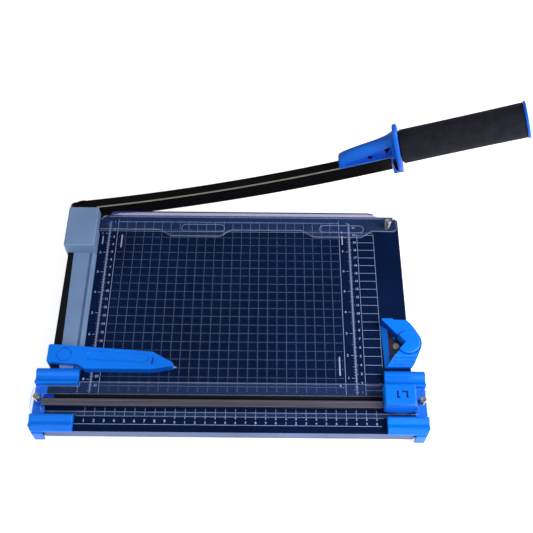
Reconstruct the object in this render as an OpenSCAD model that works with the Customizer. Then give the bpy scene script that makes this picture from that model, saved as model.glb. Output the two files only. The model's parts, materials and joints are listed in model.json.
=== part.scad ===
// Guillotine paper cutter for A4 sheets. A swing-arm blade shears along the back edge of the board, a rotary
// trimmer runs on a rail along the front edge, a corner rounder sits at the right and a stop slides at the left.
// Board coordinates: X from the first grid line, Y from the guillotine's cutting line (the board lies at
// negative Y), Z from the board's top. on_table() carries them to the part's own frame.

/* [Board] */
// Length of the board, left to right
board_len = 368.5; // [366:0.5:372]
// Front edge of the board, measured from the guillotine's cutting line
board_depth = 258.5; // [257:0.5:260]
// Board edge to the first grid line
grid_margin = 51; // [50:0.5:52]
// Height of the board's folded skirt
skirt_h = 15; // [13:0.5:15.5]
// Thickness of the board's steel sheet
sheet_t = 1.5; // [1:0.1:1.8]
// Height that the feet stand below the skirt
foot_h = 3; // [2.5:0.5:5]

/* [Cutting arm] */
// Angle that the arm stands open at rest
arm_open = 15.2; // [0:0.1:45]
// Radius of the arm's upward curve, along the blade's top edge
arm_curve_r = 1800; // [1600:10:2400]
// Depth of the blade, top edge to cutting edge
blade_depth = 18.7; // [17:0.1:20]
// Thickness of the moving blade
blade_t = 2; // [1.5:0.1:2]
// Radius of the pivot bolt
pivot_r = 4; // [3:0.5:5]
// Length of the foam grip
grip_len = 122.8; // [100:0.1:130]
// Outer radius of the foam grip
grip_r = 17.5; // [15:0.1:18]
// Rise of the grip above the closed arm's line, in degrees
grip_tilt = 5; // [3:0.5:7]

/* [Rotary trimmer] */
// Distance between the two cutting lines
cut_gap = 223.3; // [223:0.1:223.6]
// Radius of the rotary blade
rotary_r = 8.5; // [8:0.1:8.5]
// Rest position of the cutter head's left side
head_x = 285.5; // [100:0.5:285.5]
// Travel of the cutter head when it is pressed
head_press = 1.4; // [1:0.1:1.4]

/* [Clear plates] */
// Thickness of the clear guard and of the clear clamping strip
clear_t = 2; // [1.5:0.1:2]
// Gap for paper under the clear plates
paper_gap = 0.3; // [0.2:0.05:0.4]

/* [Paper stop] */
// Rest position of the stop's straight front edge
stop_y = -196; // [-196:1:-90]

/* [Hidden] */
$fn = 64;

blue = [0.05, 0.38, 0.9];
grey = [0.52, 0.58, 0.74];
navy = [0.08, 0.12, 0.26];
black = [0.07, 0.07, 0.08];
steel = [0.72, 0.73, 0.75];
clear = [0.75, 0.85, 1, 0.35];

// Board edges
board_x0 = -grid_margin;
board_x1 = board_x0 + board_len;
board_y0 = -board_depth;
lower_blade_t = 3;
board_y1 = -lower_blade_t;
table_z = -skirt_h - foot_h;
gap = 0.3;

// Pivot and arm, in the arm's own frame: X along the closed arm, Z up, origin on the pivot's axis
pivot_x = -40;
pivot_z = -2.5;
arm_low_x = 152;
arm_low_z = 6.2;
blade_y0 = gap;
beam_y0 = blade_y0 + blade_t;
beam_w = 10;
beam_y1 = beam_y0 + beam_w;
beam_mid_y = beam_y0 + beam_w / 2;
beam_t = 1.8;
beam_depth = 14;
beam_x1 = 352.6;
pivot_end_r = 13.5;
bush_r = 7;
running = 0.05;
grip_x = 365.5;
grip_z = 24.4;
core_r = 9;
core_bore_r = 7;
cap_r = grip_r + 1;
cap_t = 2.7;
flange_x0 = 358.2;
flange_x1 = 364;
flange_r = 17;
rivet_xs = [45, 105, 165, 225, 285, 335];

// Rotary trimmer
mat_x0 = -43;
mat_x1 = 310;
mat_w = 8;
mat_h = 2;
mat_y = -cut_gap;
rail_x0 = -53;
rail_x1 = 319.5;
rail_y0 = -234.4;
rail_y1 = -227.2;
rail_z0 = 3.6;
rail_z1 = 8.1;
head_len = 31.5;
head_y0 = -239.4;
head_y1 = -212.6;
head_bulge_r = 68;
head_z0 = 5.5;
head_z1 = 20;
head_mid_x = head_x + head_len / 2;
blade_mid_z = rotary_r + 0.6;
carrier_y0 = mat_y + 0.6;
carrier_y1 = carrier_y0 + 2;
axle_r = 2;

// End brackets
bracket_over = 12.5;
bracket_y0 = -261.5;
bracket_y1 = -193.4;
bracket_z0 = -skirt_h - 2;
left_reach = 30.4;
right_reach = 28.8;

// Clear plates
clear_z1 = paper_gap + clear_t;
strip_y0 = -243.1;
strip_end_y0 = -241.9;
strip_y1 = -206.6;
strip_slot_y0 = -238.2;
strip_slot_y1 = -220;
clamp_off = 7.4;
clamp_y = -226.3;
clamp_head_z = 10;
guard_x0 = -30;
guard_x1 = 315.5;
guard_screw_spots = [[-26.5, -13], [304.5, -14.5]];
guard_head_z = 13;

// Housing, fence and stop
housing_x0 = -53.3;
housing_x1 = -20;
housing_y0 = -54;
housing_y1 = -3.2;
housing_z1 = 20;
fence_h = 4;
fence_x1 = -19.8;
groove_x0 = -27.6;
groove_x1 = -24.6;

// Corner rounder
round_y = -165.5;
knob_x = 314.2;
knob_r = 12.6;
punch_x = 315.2;
plunger_r = 5;
die_z = 5;
round_z1 = 14;

// Largest extents, which centre the part's frame over its own footprint
strip_over = bracket_over + 2.5;
reach_x = grip_x + (grip_len + cap_t) * cos(grip_tilt);
reach_z = grip_z + (grip_len + cap_t) * sin(grip_tilt);
part_x0 = board_x0 - strip_over;
part_x1 = pivot_x + reach_x * cos(arm_open) - reach_z * sin(arm_open) + cap_r * sin(arm_open + grip_tilt);
part_y1 = beam_mid_y + cap_r;
origin = [(part_x0 + part_x1) / 2, (bracket_y0 + part_y1) / 2, table_z];

// ---- Helpers ----

// Board coordinates to the part's frame, which stands on the table
module on_table() translate(-origin) children();

// The arm's frame, turned up by the angle it rests at
module on_arm() on_table() translate([pivot_x, 0, pivot_z]) rotate([0, -arm_open, 0]) children();

// The grip's axis along +Z, from the grip's inner end
module on_grip() on_arm() translate([grip_x, beam_mid_y, grip_z]) rotate([0, 90 - grip_tilt, 0]) children();

// Block between two opposite corners
module block(low, high) translate(low) cube(high - low);

// Rectangle with round corners, between two opposite corners
module round_rect(low, high, r) {
    translate([low.x + r, low.y]) square([high.x - low.x - 2 * r, high.y - low.y]);
    translate([low.x, low.y + r]) square([high.x - low.x, high.y - low.y - 2 * r]);
    for (x = [low.x + r, high.x - r], y = [low.y + r, high.y - r])
        translate([x, y]) circle(r);
}

// Block with round upright edges
module round_block(low, high, r)
    translate([0, 0, low.z]) linear_extrude(high.z - low.z)
        round_rect([low.x, low.y], [high.x, high.y], r);

// Rectangle whose two upper corners are round
module round_top(low, high, r) {
    translate(low) square([high.x - low.x, high.y - low.y - r]);
    translate([low.x + r, low.y]) square([high.x - low.x - 2 * r, high.y - low.y]);
    for (x = [low.x + r, high.x - r])
        translate([x, high.y - r]) circle(r);
}

// Block whose upper edges are round on all four sides
module round_top_block(low, high, r)
    intersection() {
        along_y(low.y, high.y) round_top([low.x, low.z], [high.x, high.z], r);
        along_x(low.x, high.x) round_top([low.y, low.z], [high.y, high.z], r);
    }

// Outline drawn in X and Z, extruded from y0 to y1
module along_y(y0, y1) translate([0, y1, 0]) rotate([90, 0, 0]) linear_extrude(y1 - y0) children();

// Outline drawn in Y and Z, extruded from x0 to x1
module along_x(x0, x1) translate([x0, 0, 0]) rotate([90, 0, 90]) linear_extrude(x1 - x0) children();

// Round bar along Y
module rod_y(x, z, y0, y1, r) translate([x, y0, z]) rotate([-90, 0, 0]) cylinder(h = y1 - y0, r = r);

// Pan-head screw with a crossed slot: its head stands on z = 0 and its shank points down
module screw(head_r, head_h, shank_r, shank_len) {
    slot_w = head_r / 4;
    difference() {
        cylinder(h = head_h, r1 = head_r, r2 = head_r * 0.85);
        for (turn = [0, 90])
            rotate(turn) translate([-head_r / 2, -slot_w / 2, head_h / 2]) cube([head_r, slot_w, head_h]);
    }
    translate([0, 0, -shank_len]) cylinder(h = shank_len + 0.1, r = shank_r);
}

// Screws driven up from below at the given spots; their heads bear on the sheet's underside
module screws_below(spots, shank_len)
    for (spot = spots)
        translate([spot.x, spot.y, -sheet_t]) rotate([180, 0, 0]) screw(3.2, 2, 1.5, shank_len);

// Holes through the board's sheet at the given spots
module sheet_holes(spots, r)
    for (spot = spots)
        translate([spot.x, spot.y, -sheet_t - 1]) cylinder(h = sheet_t + 2, r = r);

// Blind pilot holes, up from z = 0
module pilots(spots, r, depth)
    for (spot = spots)
        translate([spot.x, spot.y, -1]) cylinder(h = depth + 1, r = r);

// Points of one ring of a coil spring's wire
function wire_ring(coil_r, wire_r, turn, z, sides) =
    [for (k = [0:sides - 1])
        let (a = k * 360 / sides, reach = coil_r + wire_r * cos(a))
        [reach * cos(turn), reach * sin(turn), z + wire_r * sin(a)]];

// Compression spring that stands on z = 0
module coil_spring(coil_r, wire_r, height, turns) {
    sides = 6;
    steps = 14 * turns;
    rise = height - 2 * wire_r;
    points = [for (i = [0:steps]) each wire_ring(coil_r, wire_r, i * 360 * turns / steps,
        wire_r + rise * i / steps, sides)];
    walls = [for (i = [0:steps - 1], k = [0:sides - 1])
        let (a = i * sides, n = (k + 1) % sides)
        each [[a + k, a + n, a + sides + n], [a + k, a + sides + n, a + sides + k]]];
    ends = [[for (k = [0:sides - 1]) sides - 1 - k], [for (k = [0:sides - 1]) steps * sides + k]];
    polyhedron(points, concat([for (w = walls) [w[2], w[1], w[0]]],
        [for (e = ends) [for (k = [sides - 1:-1:0]) e[k]]]), convexity = 6);
}

// ---- Board ----

foot_spots = [for (x = [board_x0 + 22, board_x1 - 22], y = [board_y0 + 18, board_y1 - 26]) [x, y]];
blade_screw_xs = [10, 80, 150, 220, 290];
fence_spots = [for (y = [-80, -125, -170]) [-36, y]];
housing_spots = [[-45.8, -47], [-25.4, -42]];
foot_screw_spots = [[-46.5, -20], [-33.5, -20]];
bracket_spots = [for (x = [-40, board_x1 - 12], y = [-204, -250]) [x, y]];
rounder_spots = [[305, -143.5], [312, -183.5]];
nut_window_x = 8;
nut_window_y = 16;

// Folded sheet-steel board with a pressed trough for the cutting strip
module base_pan()
    color(navy) on_table() difference() {
        union() {
            difference() {
                round_block([board_x0, board_y0, -skirt_h], [board_x1, board_y1, 0], 3);
                round_block([board_x0 + sheet_t, board_y0 + sheet_t, -skirt_h - 1],
                    [board_x1 - sheet_t, board_y1 - sheet_t, -sheet_t], 1.5);
            }
            block([mat_x0 - sheet_t, mat_y - mat_w / 2 - sheet_t, -mat_h - sheet_t],
                [mat_x1 + sheet_t, mat_y + mat_w / 2 + sheet_t, -sheet_t / 2]);
        }
        block([mat_x0, mat_y - mat_w / 2, -mat_h], [mat_x1, mat_y + mat_w / 2, 1]);
        block([pivot_x - nut_window_x, -nut_window_y, -10], [pivot_x + nut_window_x, 1, 1]);
        sheet_holes(concat(fence_spots, housing_spots, bracket_spots, rounder_spots), 1.6);
        sheet_holes(foot_screw_spots, 2);
        sheet_holes(guard_screw_spots, 1.5);
        sheet_holes([for (x = rail_screw_xs) [x, rail_mid_y]], 1.2);
        for (x = blade_screw_xs)
            rod_y(x, -7, board_y1 - sheet_t - 1, board_y1 + 1, 1.6);
    }

// Soft feet under the board's four corners
module rubber_feet()
    color(black) on_table()
        for (spot = foot_spots)
            translate([spot.x, spot.y, table_z]) {
                cylinder(h = 2, r1 = 8, r2 = 9);
                translate([0, 0, 2]) cylinder(h = foot_h + 1, r = 9);
                translate([0, 0, 2]) cylinder(h = skirt_h + foot_h - sheet_t - 2, r = 6.5);
            }

// Fixed counter-blade along the board's back edge
module lower_blade()
    color(steel) on_table() difference() {
        block([-16, board_y1, -12], [312, 0, 0]);
        for (x = blade_screw_xs) {
            rod_y(x, -7, board_y1 - 1, 1, 1.7);
            translate([x, 0, -7]) rotate([90, 0, 0]) cylinder(h = 1.8, r1 = 3.5, r2 = 1.7);
        }
    }

// Countersunk screws, flush with the counter-blade
module lower_blade_screws()
    color(steel) on_table()
        for (x = blade_screw_xs)
            translate([x, 0, -7]) rotate([90, 0, 0]) difference() {
                union() {
                    translate([0, 0, 0.2]) cylinder(h = 1.6, r1 = 3.2, r2 = 1.6);
                    cylinder(h = 8, r = 1.6);
                }
                translate([-2, -0.4, -1]) cube([4, 0.8, 1.8]);
            }

// ---- Pivot ----

// Steel angle that carries the pivot bolt behind the board
module pivot_bracket()
    color(steel) on_table() difference() {
        union() {
            along_y(board_y1, 0) round_rect([pivot_x - 9.5, -14], [pivot_x + 9.5, 13], 4);
            block([pivot_x - 9.5, -26, 0], [pivot_x + 9.5, board_y1 + 0.1, 3]);
        }
        block([pivot_x - 7.5, -13, -1], [pivot_x + 7.5, board_y1, 4]);
        rod_y(pivot_x, pivot_z, board_y1 - 1, 1, pivot_r);
        for (spot = foot_screw_spots)
            translate([spot.x, spot.y, -1]) cylinder(h = 5, r = 2);
    }

// Screws that fasten the pivot's angle to the board
module pivot_bracket_screws()
    color(steel) on_table()
        for (spot = foot_screw_spots)
            translate([spot.x, spot.y, 3]) screw(2.8, 2, 2, 8);

// Flat washers each side and a spring washer under the bolt's head
module pivot_washers()
    color(steel) on_table() {
        washer(board_y1 - 1, board_y1, 6.5);
        washer(beam_y1 + gap, beam_y1 + gap + 0.8, 7);
        washer(beam_y1 + gap + 0.8, beam_y1 + gap + 1.8, 6);
    }

module washer(y0, y1, r)
    difference() {
        rod_y(pivot_x, pivot_z, y0, y1, r);
        rod_y(pivot_x, pivot_z, y0 - 1, y1 + 1, pivot_r);
    }

bolt_head_y = beam_y1 + gap + 1.8;

// Hexagon-head bolt that the arm turns on
module pivot_bolt()
    color(steel) on_table() {
        rod_y(pivot_x, pivot_z, -11.5, bolt_head_y, pivot_r);
        translate([pivot_x, bolt_head_y, pivot_z]) rotate([-90, 0, 0]) cylinder(h = 3.2, r = 6.4, $fn = 6);
    }

// Hexagon nut under the housing
module pivot_nut()
    color(steel) on_table() difference() {
        translate([pivot_x, board_y1 - 7, pivot_z]) rotate([-90, 0, 0]) cylinder(h = 6, r = 7, $fn = 6);
        rod_y(pivot_x, pivot_z, board_y1 - 8, board_y1, pivot_r);
    }

// ---- Housing, fence and track ----

// Grey moulded cover over the pivot's angle and nut
module pivot_housing()
    color(grey) on_table() difference() {
        union() {
            round_top_block([housing_x0, housing_y0, 0], [housing_x1, housing_y1, housing_z1], 1.6);
            block([housing_x0, housing_y0, -6], [board_x0 - gap, housing_y1, 0.1]);
        }
        difference() {
            block([housing_x0 + 1.8, housing_y0 + 2, -7], [housing_x1 - 2, housing_y1 - 1.5, housing_z1 - 2]);
            block([housing_x0 + 1, housing_y0 + 1, -8], [board_x0 - gap, housing_y1, 0]);
            for (spot = housing_spots)
                translate([spot.x, spot.y, -2]) cylinder(h = housing_z1 + 2, r = 4);
        }
        block([pivot_x - 9.8, housing_y1 - 4, -1], [pivot_x + 9.8, 0, 6]);
        block([housing_x1 - 4, -26, -1], [housing_x1 + 1, 0, 6]);
        pilots(housing_spots, 1.5, 10);
    }

// Screws up into the housing's bosses
module housing_screws() color(steel) on_table() screws_below(housing_spots, 9);

// Outline of the band left of the groove: the fence's left edge runs slightly askew
fence_back_x = -45;
fence_front_x = -42;

// Grey moulded edge that squares the paper, with a groove for the stop's key
module side_fence()
    color(grey) on_table() difference() {
        linear_extrude(fence_h) polygon([[fence_back_x, housing_y0], [fence_x1, housing_y0],
            [fence_x1, bracket_y1], [fence_front_x, bracket_y1]]);
        block([groove_x0, bracket_y1 - 1, 1.8], [groove_x1, housing_y0 + 1, fence_h + 1]);
        block([groove_x1 + 2, bracket_y1 - 1, fence_h - 0.8], [fence_x1 + 1, housing_y0 + 1, fence_h + 1]);
        pilots(fence_spots, 1.5, 3);
    }

module fence_screws() color(steel) on_table() screws_below(fence_spots, sheet_t + 2.5);

// Black friction track under the stop's clamping lip
module stop_track()
    color(black) on_table() linear_extrude(fence_h)
        polygon([[board_x0, housing_y0], [fence_back_x, housing_y0], [fence_front_x, bracket_y1],
            [board_x0, bracket_y1]]);

// ---- End brackets ----

// Cross-sections of the front and back ridges, in Y and Z
function front_ridge() = [[-242.5, 0], [-242.5, 5.6], [-243.4, 7.2], [-245, 8], [-247, 7.6], [-249.5, 6],
    [-251.5, 5.9], [-254.2, 7.5], [-255.4, 7.4], [-257, 5.4], [-258.6, 4.9], [-259.6, 4.1], [-260, 2.8],
    [-260, 0]];
function back_ridge() = [[-211, 0], [-211, 6.6], [-210, 8], [-208.6, 7.7], [-206, 5.6], [-202.3, 5.5],
    [-199.6, 7.8], [-197.8, 8], [-195, 6.8], [bracket_y1, 4.6], [bracket_y1, 0]];

// End bracket in its own X: 0 at the board's edge, positive outwards. reach is how far the ridges run inwards
module end_bracket(reach)
    difference() {
        union() {
            along_x(-reach, bracket_over) polygon(front_ridge());
            along_x(-reach, bracket_over) polygon(back_ridge());
            block([gap, bracket_y0 + 1.5, bracket_z0], [bracket_over, bracket_y1, 0.05]);
            block([-0.5, bracket_y0, bracket_z0], [bracket_over, board_y0 - gap, 0.05]);
            block([-8, rail_y0 + 1.4, 0], [2.5, rail_y1 - 1.4, rail_z0]);
            block([-0.05, -260, 0], [bracket_over, -259, 2.5]);
        }
        block([2.3, bracket_y0 + 5, bracket_z0 - 1], [bracket_over - 2, bracket_y1 - 2, -4]);
        linear_extrude(60, center = true) polygon([[bracket_over - 3.2, bracket_y0 - 1],
            [bracket_over - 3.2, bracket_y0], [bracket_over, bracket_y0 + 6], [bracket_over + 1, bracket_y0 + 6],
            [bracket_over + 1, bracket_y0 - 1]]);
        translate([clamp_off, clamp_y, -5]) cylinder(h = 7, r = 1.5);
        translate([-rail_screw_in, rail_mid_y, -5]) cylinder(h = 12, r = 1.2);
    }

module left_bracket()
    color(blue) on_table() difference() {
        union() {
            translate([board_x0, 0, 0]) mirror([1, 0, 0]) end_bracket(left_reach);
            block([board_x0 - 2.7, mat_y - 3.6, 0], [mat_x0 - 0.6, mat_y + 2.8, 1.2]);
        }
        pilots(bracket_spots, 1.5, 4.5);
    }

module right_bracket()
    color(blue) on_table() difference() {
        translate([board_x1, 0, 0]) end_bracket(right_reach);
        pilots(bracket_spots, 1.5, 4.5);
    }

module bracket_screws() color(steel) on_table() screws_below(bracket_spots, sheet_t + 3.8);

// ---- Rotary trimmer ----

rail_mid_y = (rail_y0 + rail_y1) / 2;
rail_screw_in = 4.2;
rail_screw_xs = [board_x0 + rail_screw_in, board_x1 - rail_screw_in];
rail_screw_top = rail_z1 - 1;

// Steel rail with a shallow flute along its top
module rotary_rail()
    color(steel) on_table() difference() {
        block([rail_x0, rail_y0, rail_z0], [rail_x1, rail_y1, rail_z1]);
        block([rail_x0 - 1, rail_y1 - 2.6, rail_z1 - 0.25], [rail_x1 + 1, rail_y1 - 2, rail_z1 + 1]);
        for (x = rail_screw_xs)
            translate([x, rail_mid_y, rail_z0 - 1]) cylinder(h = rail_screw_top - rail_z0 + 1, r = 1.2);
    }

// Screws up through the board and the brackets into the rail
module rail_screws()
    color(steel) on_table()
        for (x = rail_screw_xs)
            translate([x, rail_mid_y, -sheet_t]) rotate([180, 0, 0]) screw(2.4, 1.6, 1.2, rail_screw_top + sheet_t);

// Replaceable plastic strip under the rotary blade, with the groove that the blade runs in
module cutting_strip()
    color(black) on_table() difference() {
        block([mat_x0, mat_y - mat_w / 2, -mat_h], [mat_x1, mat_y + mat_w / 2, 0]);
        block([mat_x0 + 0.5, mat_y - 0.7, -1.3], [mat_x1 - 0.5, mat_y + 0.7, 1]);
    }

// Clear strip that holds the paper each side of the rotary cut
module clamp_strip()
    color(clear) on_table() difference() {
        translate([0, 0, paper_gap]) linear_extrude(clear_t) {
            round_rect([board_x0 - strip_over, strip_end_y0], [board_x1 + strip_over, -211.4], 8);
            translate([board_x0 + left_reach + 1, -222]) square([board_len - left_reach - right_reach - 2,
                strip_y1 + 222]);
            polygon([[board_x0 + left_reach + 0.6, strip_end_y0 + 1], [board_x0 + left_reach + 0.6, strip_end_y0],
                [board_x0 + left_reach + 3, strip_y0], [board_x1 - right_reach - 3, strip_y0],
                [board_x1 - right_reach - 0.6, strip_end_y0], [board_x1 - right_reach - 0.6, strip_end_y0 + 1]]);
        }
        block([board_x0 - 3.5, strip_slot_y0, 0], [board_x1 + 3.5, strip_slot_y1, 4]);
        for (x = clamp_xs)
            translate([x, clamp_y, 0]) cylinder(h = 4, r = 2);
    }

clamp_xs = [board_x0 - clamp_off, board_x1 + clamp_off];

module clamp_screws()
    color(steel) on_table()
        for (x = clamp_xs)
            translate([x, clamp_y, clamp_head_z]) screw(3.6, 1.6, 1.5, clamp_head_z + 4.5);

module clamp_springs()
    color(steel) on_table()
        for (x = clamp_xs)
            translate([x, clamp_y, clear_z1 + 0.05]) coil_spring(2.7, 0.45, clamp_head_z - clear_z1 - 0.1, 5);

// Slider that hooks round the rail
module carriage_glide()
    color(black) on_table() {
        x0 = head_x + 2.5;
        x1 = head_x + head_len - 2.5;
        difference() {
            block([x0, rail_y0 - 1.3, 2.5], [x1, rail_y1 + 1.3, 12]);
            block([x0 - 1, rail_y0 - gap, rail_z0 - gap], [x1 + 1, rail_y1 + gap, rail_z1 + gap]);
            block([x0 - 1, rail_y0 + 0.9, 2], [x1 + 1, rail_y1 - 0.9, rail_z0]);
        }
        for (x = [x0 + 4, x1 - 4])
            translate([x, rail_mid_y, 11.9]) cylinder(h = 3.7, r = 1.6);
    }

// Side view of the cap, in Y and Z: its front leans back a little
head_side = [[head_y0, head_z0], [head_y0 + 0.2, 11], [head_y0 + 1.6, 17.8], [head_y0 + 2.6, 19.3],
    [head_y0 + 4.4, head_z1], [head_y1 - 2.5, head_z1], [head_y1 - 0.7, 19.2], [head_y1, 17.4], [head_y1, head_z0]];

// Blue shell that the hand presses and slides; its front bulges and its top has a recessed frame in two halves
module head_cap()
    color(blue) on_table() difference() {
        intersection() {
            along_x(head_x, head_x + head_len) polygon(head_side);
            along_y(head_y0, head_y1) round_top([head_x, head_z0], [head_x + head_len, head_z1], 2.6);
            translate([head_mid_x, head_y0 + head_bulge_r, 0]) cylinder(h = 30, r = head_bulge_r, $fn = 240);
        }
        block([head_x + 1.8, head_y0 + 3.3, head_z0 - 1], [head_x + head_len - 1.8, head_y1 - 1.8, head_z1 - 1.8]);
        block([head_x - 1, rail_y0 - 0.4, 0], [head_x + head_len + 1, rail_y1 + 0.4, rail_z1 + head_press + 0.4]);
        translate([head_x + 11.9, -228.4, head_z1 - 0.7]) {
            cube([1.8, 7.6, 2]);
            cube([3.2, 1.3, 2]);
            translate([9.3, 0, 0]) cube([1.8, 7.6, 2]);
            translate([4.6, 6.3, 0]) cube([6.5, 1.3, 2]);
        }
    }

module head_springs()
    color(steel) on_table()
        for (x = [head_x + 6.5, head_x + head_len - 6.5])
            translate([x, rail_mid_y, 12.05]) coil_spring(2.3, 0.35, 6.1, 5);

// Plate that hangs from the cap and holds the rotary blade's axle
module blade_carrier()
    color([0.9, 0.9, 0.88]) on_table() difference() {
        along_y(carrier_y0, carrier_y1) union() {
            round_top([head_mid_x - 7, 10], [head_mid_x + 7, head_z1 - 1.8], 1);
            translate([head_mid_x, 10]) circle(5.5);
        }
        rod_y(head_mid_x, blade_mid_z, carrier_y0 - 1, carrier_y1 + 1, axle_r);
    }

// Headed pin, fixed in the carrier, that the rotary blade turns on
module blade_axle()
    color(steel) on_table() {
        rod_y(head_mid_x, blade_mid_z, mat_y - 2, carrier_y1, axle_r);
        rod_y(head_mid_x, blade_mid_z, mat_y - 2, mat_y - 0.9, 3.4);
    }

module rotary_blade()
    color(steel) on_table() difference() {
        rod_y(head_mid_x, blade_mid_z, mat_y - 0.3, mat_y + 0.3, rotary_r);
        rod_y(head_mid_x, blade_mid_z, mat_y - 1, mat_y + 1, axle_r + running);
    }

// ---- Cutting arm ----

// Part of a ring about the arm's centre of curvature: depths are measured below the blade's top edge
module arm_ring(depth0, depth1, x0, x1)
    intersection() {
        translate([arm_low_x, arm_low_z + arm_curve_r]) difference() {
            circle(arm_curve_r + depth1, $fn = 720);
            circle(arm_curve_r + depth0, $fn = 720);
        }
        translate([x0, -60]) square([x1 - x0, 120]);
    }

// Rounded heel of the arm behind the pivot, drawn in by the given depth
module heel(inset) {
    translate([heel_x, heel_z]) circle(heel_r - inset);
    polygon([[heel_x, heel_z], [heel_x, heel_z + heel_r - inset], [10, 11.8 - inset], [10, heel_z]]);
}

heel_x = -8.4;
heel_z = 3.2;
heel_r = 8.9;

// Side plate of the beam, with the round end that turns about the pivot
module beam_side(y0)
    along_y(y0, y0 + beam_t) difference() {
        union() {
            arm_ring(0, beam_depth, 8, beam_x1);
            circle(pivot_end_r);
            heel(0);
            polygon([[4, -12.8], [4, 8], [60, 6], [60, -5.4]]);
        }
        circle(bush_r);
        for (x = rivet_xs)
            translate([x, rivet_z(x)]) circle(2);
        for (x = tang_rivet_xs)
            translate([x, tang_rivet_z]) circle(2);
    }

function rivet_z(x) = arm_low_z - 9 + pow(x - arm_low_x, 2) / (2 * arm_curve_r);
tang_rivet_xs = [309, 324];
tang_rivet_z = 5.5;

// Folded steel channel, open downwards
module arm_beam()
    color(black) on_arm() {
        beam_side(beam_y0);
        beam_side(beam_y1 - beam_t);
        along_y(beam_y0, beam_y1) arm_ring(0, beam_t, 8, beam_x1);
        along_y(beam_y0, beam_y1) difference() {
            heel(0);
            heel(beam_t);
            translate([-30, -30]) square([60, 30 + heel_z]);
        }
    }

// Moving blade on the beam's front face; its heel rises towards the pivot
module arm_blade()
    color(black) on_arm() difference() {
        along_y(blade_y0, beam_y0) arm_ring(0, blade_depth, 19, beam_x1);
        along_y(blade_y0 - 1, beam_y0 + 1) polygon([[10, -40], [10, -1.5], [19, -1.5], [72, -11], [72, -40]]);
        for (x = rivet_xs)
            rod_y(x, rivet_z(x), blade_y0 + 0.7, beam_y0 + 1, 2);
    }

// Blind rivets that hold the blade to the beam
module blade_rivets()
    color(black) on_arm()
        for (x = rivet_xs) {
            rod_y(x, rivet_z(x), blade_y0 + 0.7, beam_y0 + beam_t + 1, 2);
            rod_y(x, rivet_z(x), beam_y0 + beam_t, beam_y0 + beam_t + 1.2, 3.2);
        }

// Bush in the beam's round end, a running fit on the bolt
module pivot_bush()
    color([0.72, 0.6, 0.35]) on_arm() difference() {
        rod_y(0, 0, blade_y0, beam_y1, bush_r);
        rod_y(0, 0, blade_y0 - 1, beam_y1 + 1, pivot_r + running);
    }

// Outline of the hand guard's saddle above the beam
saddle = [[297.5, -20], [297.5, 22], [299.5, 27], [304, 29.5], [318, 34], [333, 37.5], [342, 39.6],
    [350, 43], [355, 46.6], [357.5, 49], [357.5, -20]];
saddle_y0 = beam_y0 - 1.8;
saddle_y1 = beam_y1 + 1.8;

// Blue moulded guard between the hand and the blade
module hand_guard()
    color(blue) on_arm() difference() {
        union() {
            difference() {
                along_y(saddle_y0, saddle_y1) polygon(saddle);
                along_y(saddle_y0 - 1, saddle_y1 + 1) arm_ring(0, 80, 290, 360);
            }
            along_x(flange_x0, flange_x1) {
                for (z = [8.5, 40.5])
                    translate([beam_mid_y, z]) circle(flange_r);
                translate([beam_mid_y - flange_r, 8.5]) square([2 * flange_r, 32]);
            }
            block([beam_x1 + 0.3, saddle_y0, -10], [flange_x0 + 1, saddle_y1, 20]);
        }
        block([beam_x1 + 1.6, saddle_y0 - 1, -6], [flange_x0 - 0.9, beam_mid_y - 4, 12]);
        block([340, beam_mid_y - 2, 0], [370, beam_mid_y + 2, 32.5]);
        rod_y(guard_screw_x, guard_screw_z, saddle_y0 - 1, saddle_y1 + 1, 1.5);
        rod_y(guard_screw_x, guard_screw_z, saddle_y0 - 1, saddle_y0 + 2, 2.6);
        rod_y(guard_screw_x, guard_screw_z, saddle_y1 - 2, saddle_y1 + 1, 2.6);
    }

guard_screw_x = 332;
guard_screw_z = 22;

// Cross screw through the hand guard, sunk in its side
module hand_guard_screw()
    color(steel) on_arm() translate([guard_screw_x, saddle_y0 + 2, guard_screw_z]) rotate([90, 0, 0])
        screw(2.4, 1.2, 1.5, saddle_y1 - saddle_y0 - 4);

// Point in the arm's own frame, from a distance along the grip's axis and a height above it
function grip_point(along, up) = [grip_x + along * cos(grip_tilt) - up * sin(grip_tilt),
    grip_z + along * sin(grip_tilt) + up * cos(grip_tilt)];

// Flat bar from inside the beam, through the hand guard and into the grip's tube
module handle_tang()
    color(steel) on_arm() along_y(beam_mid_y - 1.5, beam_mid_y + 1.5) difference() {
        polygon([[300, 1], [300, 9.8], [347, 13], [353.2, 15], grip_point(-4, 6), grip_point(21, 6),
            grip_point(21, -6), grip_point(-2, -6), [358, 3], [345, 1]]);
        for (x = tang_rivet_xs)
            translate([x, tang_rivet_z]) circle(2);
    }

module tang_rivets()
    color(black) on_arm()
        for (x = tang_rivet_xs)
            rod_y(x, tang_rivet_z, beam_y0, beam_y1 + 0.8, 2);

// Steel tube inside the grip
module grip_core()
    color(steel) on_grip() difference() {
        cylinder(h = grip_len, r = core_r);
        translate([0, 0, -1]) cylinder(h = grip_len + 2, r = core_bore_r);
    }

module foam_grip()
    color(black) on_grip() difference() {
        translate([0, 0, 0.5]) cylinder(h = grip_len - 0.5, r = grip_r);
        cylinder(h = grip_len + 1, r = core_r);
    }

module grip_end_cap()
    color(blue) on_grip() {
        translate([0, 0, grip_len]) cylinder(h = cap_t, r = cap_r);
        translate([0, 0, grip_len - 12]) cylinder(h = 12.1, r = core_bore_r - 0.1);
    }

// ---- Guillotine guard ----

lobes = [[60, 116], [220, 275]];
lobe_ramp = 12;
guard_y0 = -20.5;
guard_y1 = -2.2;
lobe_y = -29;
wall_t = 1.8;
wall_h = 11.2;

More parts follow.
